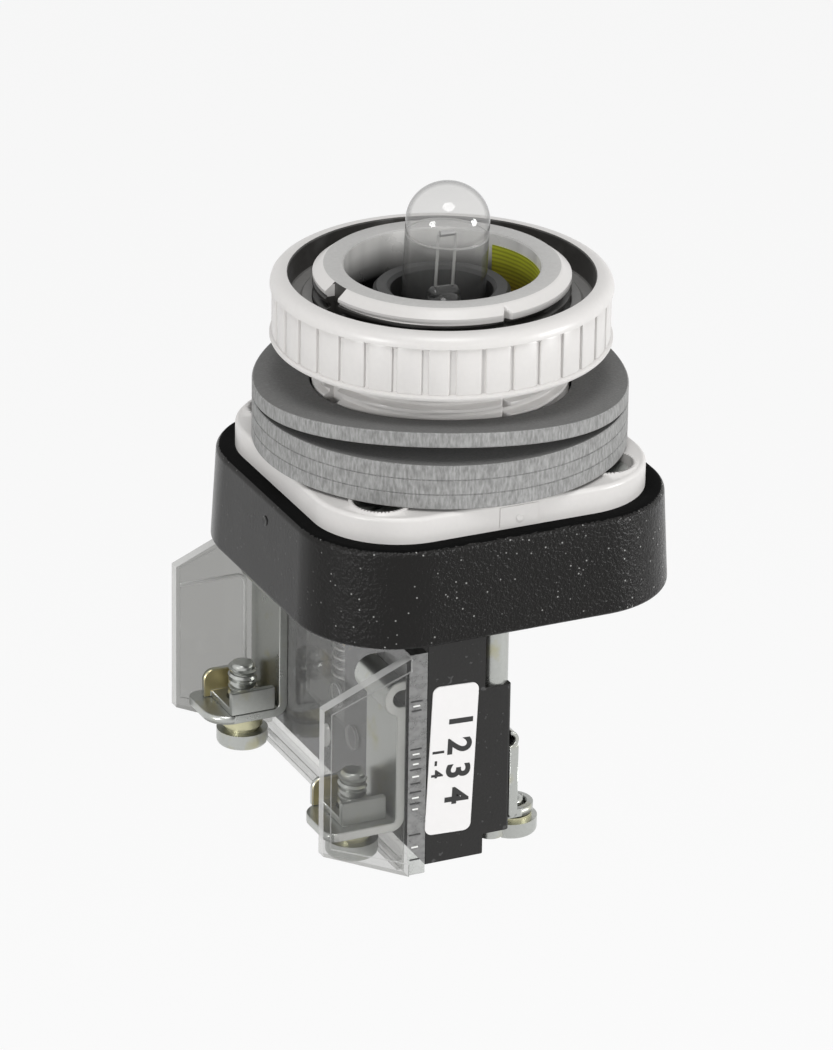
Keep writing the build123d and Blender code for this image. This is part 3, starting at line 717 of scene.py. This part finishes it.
def barrel_mesh():
    """Barrel from the bore's foot, over the top and down the thread."""
    angles = turn_steps(SEG * 2)
    for place, offsets in ((NOTCH_AT, (0.6, 0.3, 0.0)), (KEY_AT, (1.4, 1.36))):
        for offset in offsets:
            for sign in (-1, 1):
                angles.append(math.radians(place) % (2 * math.pi) + sign * offset / BARREL_R)
    angles = sorted(set(round(a, 6) for a in angles))
    heights = [BARREL_TOP, 21.5, 21.1, CHAMFER_LOW]
    step = 0.125
    while heights[-1] > 0.05:
        heights.append(max(heights[-1] - step, 0.0))
    rows = []
    for t in angles:
        profile = [(BORE_R, BARREL_LOW), (BORE_R, 21.6), (BORE_R + 0.15, BARREL_TOP)]
        profile += [(barrel_radius(t, z), z) for z in heights]
        profile += [(SKIRT_R, SKIRT_TOP), (SKIRT_R, BARREL_LOW)]
        rows.append([polar(r, t, z) for r, z in profile])
    bm = bmesh.new()
    grid(bm, rows)
    return finish_mesh("barrel_body", bm, "bright", "frame", ["bushing"], 40)


def in_shade(r, z, f):
    """Faces given painted shade: the outside of the barrel from the ring's foot to the thread's
    top, and the keyway's floor.
    """
    thread = 13.0 < z < THREAD_TOP + 0.1 and r > 12
    key_floor = 14.0 < z < 21.7 and 12.5 < r < KEY_R + 0.1 and f.normal.z < 0.6
    return thread or key_floor


# painted shade on the thread zone and keyway floor; the bore gets painted shade and painted
# reflection by height
paint(barrel_mesh(),
      ("bore", lambda r, z, f: r < 11.7 and z < 21.75),
      ("face", lambda r, z, f: r < 13.76 and z > 21.6),
      ("painted_shade", in_shade))


# ---------- square plate and housing ----------
def plate_face(f):
    """Faces of the plate only: the barrel mesh brings its own bore wall."""
    r = max(math.hypot(v.co.x, v.co.y) for v in f.verts)
    low, high = (pick(v.co.z for v in f.verts) for pick in (min, max))
    return high < 0.5 and (r > BARREL_R + 0.05 or low < -0.01) and r > BORE_R + 0.15


bm = cad_copy("bushing", plate_face)
bmesh.ops.bridge_loops(bm, edges=open_edges(bm))
bmesh.ops.triangulate(bm, faces=[f for f in bm.faces if len(f.verts) > 4])
finish_mesh("square_plate", bm, "bright", "frame", angle=30, even=True)

shell = finish_mesh("housing_shell", cad_copy("housing"), "pebble", "frame", ["housing"],
                    angle=30, even=True)
HOUSING_STEP_Z = -3.6           # top faces above this get a near-black, dull colour: painted shade, a dark line round the plate
paint(shell, ("painted_gap_shade", lambda r, z, f: f.normal.z > 0.8 and z > HOUSING_STEP_Z))

# ejector mark on the smooth side
lathe("side_mark", [(0.05, 0), (0.55, 0), (0.62, 0.05), (0.5, 0.12), (0.3, 0.05), (0.05, 0.02)],
      "black", "frame", steps=24,
      place=Matrix.Translation((-22.83, -1.5, -6.2)) @ Matrix.Rotation(-math.pi / 2, 4, "Y"))

# gate mark on the plate's front edge: a shallow pad and the broken nub in it
prism("gate_pad", rounded_box(-1.94, 2.9, -2.95, -0.45, 0.1, 2), -20.68, -20.5, "bright", 0.02)
random.seed(7)
blob("gate_nub", (0.605, 0.1925, 0.55), (0.55, -20.62, -2.1), "bright", "frame", angle=25,
     uneven=0.16)

# ---------- terminals ----------
COVER_SIDE, LOBE_SIDE = "12", "34"
THREAD_CREST = 0.27             # radius of the wire that stands for a thread crest
EDGE_BAND = 0.13                # cut edges lie this near a strap's sides
LIP_LOW = -37.2                 # the saddles' lips stand above this
for k in COVER_SIDE + LOBE_SIDE:
    strap = soften("terminal_strap_" + k, "zinc", 0.12)
    if k in COVER_SIDE:
        low, high = extent("terminal_strap_" + k)
        side_y = max(-low.y, high.y) - EDGE_BAND
        # the straps' cut sheet edges get a painted highlight, near-white
        paint(strap, ("edge_highlight", lambda r, z, f: abs(f.center.y) / MM > side_y
                      and abs(f.normal.y) > 0.35))


def gold_lip(r, z, f):
    """The -Y side of the lip that stands on the +Y side of the screw."""
    y = f.center.y / MM
    return z > LIP_LOW and f.normal.y < -0.7 and y > math.copysign(SCREW_Y, y)


for k in COVER_SIDE:
    paint(soften("terminal_saddle_" + k, "zinc", 0.14), ("gold", gold_lip))
soften("block_body", "block", 0.25)


def screw_core(bm, x, y, z0, z1):
    """Root of a thread, closed, with a rounded tip."""
    root = SCREW_R - 1.35 * THREAD_CREST
    profile = [(0, z0), (root, z0), (root, z1 - 0.35), (root - 0.12, z1 - 0.1), (root - 0.4, z1),
               (0, z1)]
    centre = Vector((x, y, 0))
    grid(bm, [[centre + polar(r, t, z) for r, z in profile] for t in turn_steps(40)], True, False)


# (number, x, y, seat of the head, tip of the thread)
SCREWS = (("1", -18.0, -SCREW_Y, -41.2, -32.6), ("2", -18.0, SCREW_Y, -41.2, -32.6),
          ("3", 2.5, -SCREW_Y, -42.3, -40.0), ("4", 2.5, SCREW_Y, -42.3, -40.0))
TIP_ROUND = 0.45        # the last part of the core has no crest
for k, x, y, seat, tip in SCREWS:
    node = "terminal_screw_" + k
    bm = cad_copy(node, lambda f: f.calc_center_median().z < seat + 0.01)
    merge_flat(bm)
    bmesh.ops.holes_fill(bm, edges=open_edges(bm), sides=0)
    screw_core(bm, x, y, seat - 0.05, tip)
    finish_mesh("screw_" + k, bm, "zinc", "screw_" + k, [node])
    run = tip - TIP_ROUND - seat - THREAD_CREST
    coil("screw_thread_" + k, SCREW_R - THREAD_CREST, seat + THREAD_CREST, run, THREAD_CREST,
         run / SCREW_PITCH, 4, "zinc", (x, y), "screw_" + k, angle=30)

# ---------- springs ----------
# under the plunger, given a mesh of its own
SOCKET_WIRE, CONTACT_WIRE = 0.4, 0.2
low, high = extent("socket_spring")
socket_coil = coil("socket_coil", high.x - SOCKET_WIRE, low.z + SOCKET_WIRE,
                   high.z - low.z - 2 * SOCKET_WIRE, SOCKET_WIRE, 6.0, 12, "spring", (0, 0),
                   "frame", ["socket_spring"])
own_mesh(socket_coil)

# behind the clear cover
low, high = extent("contact_spring")
middle = (low + high) / 2
coil("contact_coil", (high.x - low.x) / 2 - CONTACT_WIRE, low.z + CONTACT_WIRE,
     high.z - low.z - 2 * CONTACT_WIRE, CONTACT_WIRE, 5.0, 12, "spring", (middle.x, middle.y),
     "frame", ["contact_spring"])

# ---------- clear cover ----------
STRIP_X = -13.7         # the end strip lies between this and the block
WING_Y = 20.5           # the wings lie outside this
cover = soften("terminal_cover", "clear", 0.16, split_x=STRIP_X)
paint(cover,
      ("clear_far", lambda r, z, f: f.center.y / MM > WING_Y),
      ("clear_web", lambda r, z, f: abs(f.normal.x) > 0.9 and abs(f.center.y) / MM < WING_Y),
      # small bevel faces and the end edges: painted highlight
      ("clear_edge", lambda r, z, f: f.area / MM ** 2 < 3
       or (abs(f.normal.y) < 0.9 and f.center.x / MM < -14.2)),
      ("clear_end", lambda r, z, f: abs(f.normal.y) > 0.9 and f.center.x / MM > STRIP_X
       and f.center.y / MM < -WING_Y))

# raised line on the inside of the far wing, along (x, z) points, with a rounded corner
RIB_Y, RIB_WIDTH, RIB_PROUD = 21.0, 0.5, 0.25
CORNER_X, CORNER_Z, CORNER_R, CORNER_STEPS = -16.7, -24.8, 1.2, 10
rib_line = [(-24.0, -23.6), (-17.0, -23.6)]
for i in range(CORNER_STEPS + 1):
    t = math.radians(90 - 90 * i / CORNER_STEPS)
    rib_line.append((CORNER_X + CORNER_R * math.cos(t), CORNER_Z + CORNER_R * math.sin(t)))
rib_line += [(-15.5, -27), (-15.5, -41.5)]
rows = []
for i, point in enumerate(rib_line):
    before, after = rib_line[max(0, i - 1)], rib_line[min(len(rib_line) - 1, i + 1)]
    run = (Vector(after) - Vector(before)).normalized()
    across = Vector((-run.y, 0, run.x)) * RIB_WIDTH / 2
    foot = Vector((point[0], RIB_Y, point[1]))
    crest = foot - Vector((0, RIB_PROUD, 0))
    rows.append([foot + across, crest + across * 0.5, crest - across * 0.5, foot - across])
bm = bmesh.new()
sections = grid(bm, rows, close_u=False)
for end in (sections[0], sections[-1]):
    bm.faces.new(end)
# the rib is lightened with painted highlight
finish_mesh("wing_rib_back", bm, "clear_edge", "frame", angle=60)

# small moulded bars on the end strip: groups of (highest, lowest, how many)
BAR_X, BAR_HALF, BAR_T, BAR_SHARES = -12.75, 0.72, 0.16, (1.0, 0.6, 0.85, 0.5)
BAR_GROUPS = ((-22.3, -23.5, 3), (-28.4, -30.3, 4), (-31.0, -32.8, 3), (-33.9, -36.1, 4),
              (-39.4, -42.6, 3))
for group, (top, bottom, count) in enumerate(BAR_GROUPS):
    for i in range(count):
        z = top + (bottom - top) * i / (count - 1)
        x0, x1 = (BAR_X + sign * BAR_HALF * BAR_SHARES[i] for sign in (-1, 1))
        # bars alternate dark grey and near-white: painted shadow and painted highlight of the small
        # relief
        prism("strip_bar_%d_%d" % (group + 1, i + 1),
              [(x0, z), (x1, z), (x1, z + BAR_T), (x0, z + BAR_T)], -22.12, -21.95,
              ("grey", "edge_highlight")[i % 2], 0.03)
# lightened with painted highlight
blob("wing_bump", (0.55, 0.6, 1.5), (-23.95, -21.6, -24.6), "clear_edge", "frame")

# ---------- label ----------
LABEL_Y, LABEL_TURN, TEXT_T = -22.16, math.radians(2.5), 0.01
text_down = Vector((-math.sin(LABEL_TURN), 0, -math.cos(LABEL_TURN)))
text_up = Vector((math.cos(LABEL_TURN), 0, -math.sin(LABEL_TURN)))
label_axes = Matrix((text_down, text_up, (0, -1, 0))).transposed().to_4x4()


def numbers(name, text, size, x, z):
    """Raised print on the end of the block that runs down the label, centred at (x, z)."""
    curve = bpy.data.curves.new(name, "FONT")
    curve.body = text
    curve.size = size * MM
    curve.align_x = curve.align_y = "CENTER"
    curve.extrude = TEXT_T * MM
    curve.offset = 0.03 * size * MM
    flat = new_object(name, curve)
    mesh = plain_mesh(flat)
    bpy.data.objects.remove(flat)
    mesh.transform(Matrix.Translation(Vector((x, LABEL_Y, z)) * MM) @ label_axes)
    clean_mesh(mesh, merge=1e-7)
    mesh.materials.clear()
    mesh.materials.append(M["ink"])
    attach(new_object(name, mesh), "frame")


numbers("label_text", "1 2 3 4", 4.1, -7.5, -30.4)
numbers("label_small", "1 - 4", 2.0, -10.1, -30.6)

# ---------- bulb ----------
SEAM_Z, DOME_SHARE, DOME_STEPS = 25.4, 0.93, 12
lean_axis = Vector((-math.sin(VIEW_AZ), math.cos(VIEW_AZ), 0))
LEAN = (Matrix.Translation((0, 0, BULB_PIVOT)) @ Matrix.Rotation(BULB_TILT, 4, lean_axis)
        @ Matrix.Translation((0, 0, -BULB_PIVOT)))

dome_h = BULB_R * DOME_SHARE
outline = [(0.0, BULB_LOW), (NECK_R, BULB_LOW), (NECK_R, 12.6), (BULB_R - 0.4, 12.8)]
outline += [(BULB_R, z) for z in (13.3, 16, 20, 24, SEAM_Z, BULB_TOP - dome_h)]
for k in range(1, DOME_STEPS + 1):
    a = math.pi / 2 * k / DOME_STEPS
    outline.append((max(0.0, BULB_R * math.cos(a)), BULB_TOP - dome_h + dome_h * math.sin(a)))
bm = bmesh.new()
grid(bm, [[LEAN @ polar(r, t, z) for r, z in outline] for t in turn_steps(SEG)], close_v=False)
paint(finish_mesh("bulb_envelope", bm, "glass", "lamp", ["bulb_glass"], 60),
      ("dome", lambda r, z, f: z > SEAM_Z))
lathe("bulb_seam", [(4.72, SEAM_Z - 0.12), (4.86, SEAM_Z - 0.1), (4.86, SEAM_Z + 0.1),
                    (4.72, SEAM_Z + 0.12)], "clear_edge", "lamp", place=LEAN)
# glass stem under the bead
blob("bulb_stem", (2.1, 2.1, 1.3), (0, 0, 17.3), "bead", "lamp", detail=4, place=LEAN)

# ---------- camera: fitted to the photograph, in metres and pixels ----------
ROLL, DISTANCE, FOCAL = math.radians(0.883), 0.7812, 6689.3
PHOTO_WIDTH, CENTRE_U, CENTRE_V = 833, 416.5, 525.0
ORIGIN_U, ORIGIN_V = 439.375, 436.356       # pixel of the part's origin
forward = Vector((-math.sin(VIEW_AZ) * math.cos(VIEW_EL), math.cos(VIEW_AZ) * math.cos(VIEW_EL),
                  -math.sin(VIEW_EL)))
level = Vector((math.cos(VIEW_AZ), math.sin(VIEW_AZ), 0))
upright = level.cross(forward)
right = math.cos(ROLL) * level + math.sin(ROLL) * upright
up = -math.sin(ROLL) * level + math.cos(ROLL) * upright
eye = (-DISTANCE * forward - (ORIGIN_U - CENTRE_U) * DISTANCE / FOCAL * right
       + (ORIGIN_V - CENTRE_V) * DISTANCE / FOCAL * up)
cam_data = bpy.data.cameras.new("camera")
cam_data.sensor_fit = "HORIZONTAL"
cam_data.sensor_width = 36.0
cam_data.lens = cam_data.sensor_width * FOCAL / PHOTO_WIDTH
cam_data.clip_start = 0.01
scene.camera = new_object("camera", cam_data)
scene.camera.matrix_world = Matrix((right, up, -forward)).transposed().to_4x4()
scene.camera.matrix_world.translation = eye


# ---------- floor, world and lamps, in metres and watts ----------
def white_seen(tree, by_camera):
    """1 for reflections and glass, by_camera for the camera, 0 for light that falls on things."""
    path = add(tree, "ShaderNodeLightPath").outputs
    seen = calc(tree, "MULTIPLY", path["Is Camera Ray"], by_camera)
    for ray in ("Is Glossy Ray", "Is Transmission Ray"):
        seen = calc(tree, "MAXIMUM", seen, path[ray])
    return seen


FLOOR_Z, FLOOR_HALF = -0.16, 6
WHITE_VEIL = 0.85       # the camera sees the lit floor and its shadow under this much white
WORLD_LIGHT = 0.42
bm = bmesh.new()
bmesh.ops.create_grid(bm, x_segments=1, y_segments=1, size=FLOOR_HALF)
mesh = bpy.data.meshes.new("floor")
bm.to_mesh(mesh)
bm.free()
floor = new_object("floor", mesh)
floor.location = (0, 0, FLOOR_Z)
mat = bpy.data.materials.new("floor")
mat.use_nodes = True
tree = mat.node_tree
lit = tree.nodes["Principled BSDF"]
lit.inputs["Base Color"].default_value = (0.8, 0.8, 0.8, 1)
lit.inputs["Roughness"].default_value = 0.9
glow = add(tree, "ShaderNodeEmission", {"Color": (1, 1, 1, 1)})
both = add(tree, "ShaderNodeMixShader", {
    0: white_seen(tree, WHITE_VEIL), 1: lit.outputs[0], 2: glow.outputs[0]})
tree.links.new(both.outputs[0], tree.nodes["Material Output"].inputs["Surface"])
mesh.materials.append(mat)

world = bpy.data.worlds.new("world")
scene.world = world
world.use_nodes = True
tree = world.node_tree
sky = tree.nodes["Background"]
sky.inputs["Color"].default_value = (1, 1, 1, 1)
strength = add(tree, "ShaderNodeMix", {0: white_seen(tree, 1.0), 2: WORLD_LIGHT, 3: 1.0},
               data_type="FLOAT")
tree.links.new(strength.outputs[0], sky.inputs["Strength"])

# (name, place, point that it faces, size, power)
for name, place, target, size, power in (
        ("top", (-0.12, -0.3, 0.75), (0, 0, 0), 0.4, 2.9),
        ("left", (-0.64, -0.27, 0.12), (0, 0, -0.01), 0.22, 2.1),
        ("right", (0.54, -0.44, 0.07), (0, 0, -0.01), 0.22, 2.9)):
    data = bpy.data.lights.new(name, "AREA")
    data.shape = "DISK"
    data.size = size
    data.energy = power
    lamp = new_object(name, data)
    lamp.location = place
    facing = Vector(target) - Vector(place)
    lamp.rotation_euler = facing.to_track_quat("-Z", "Y").to_euler()
scene.view_settings.view_transform = "Standard"
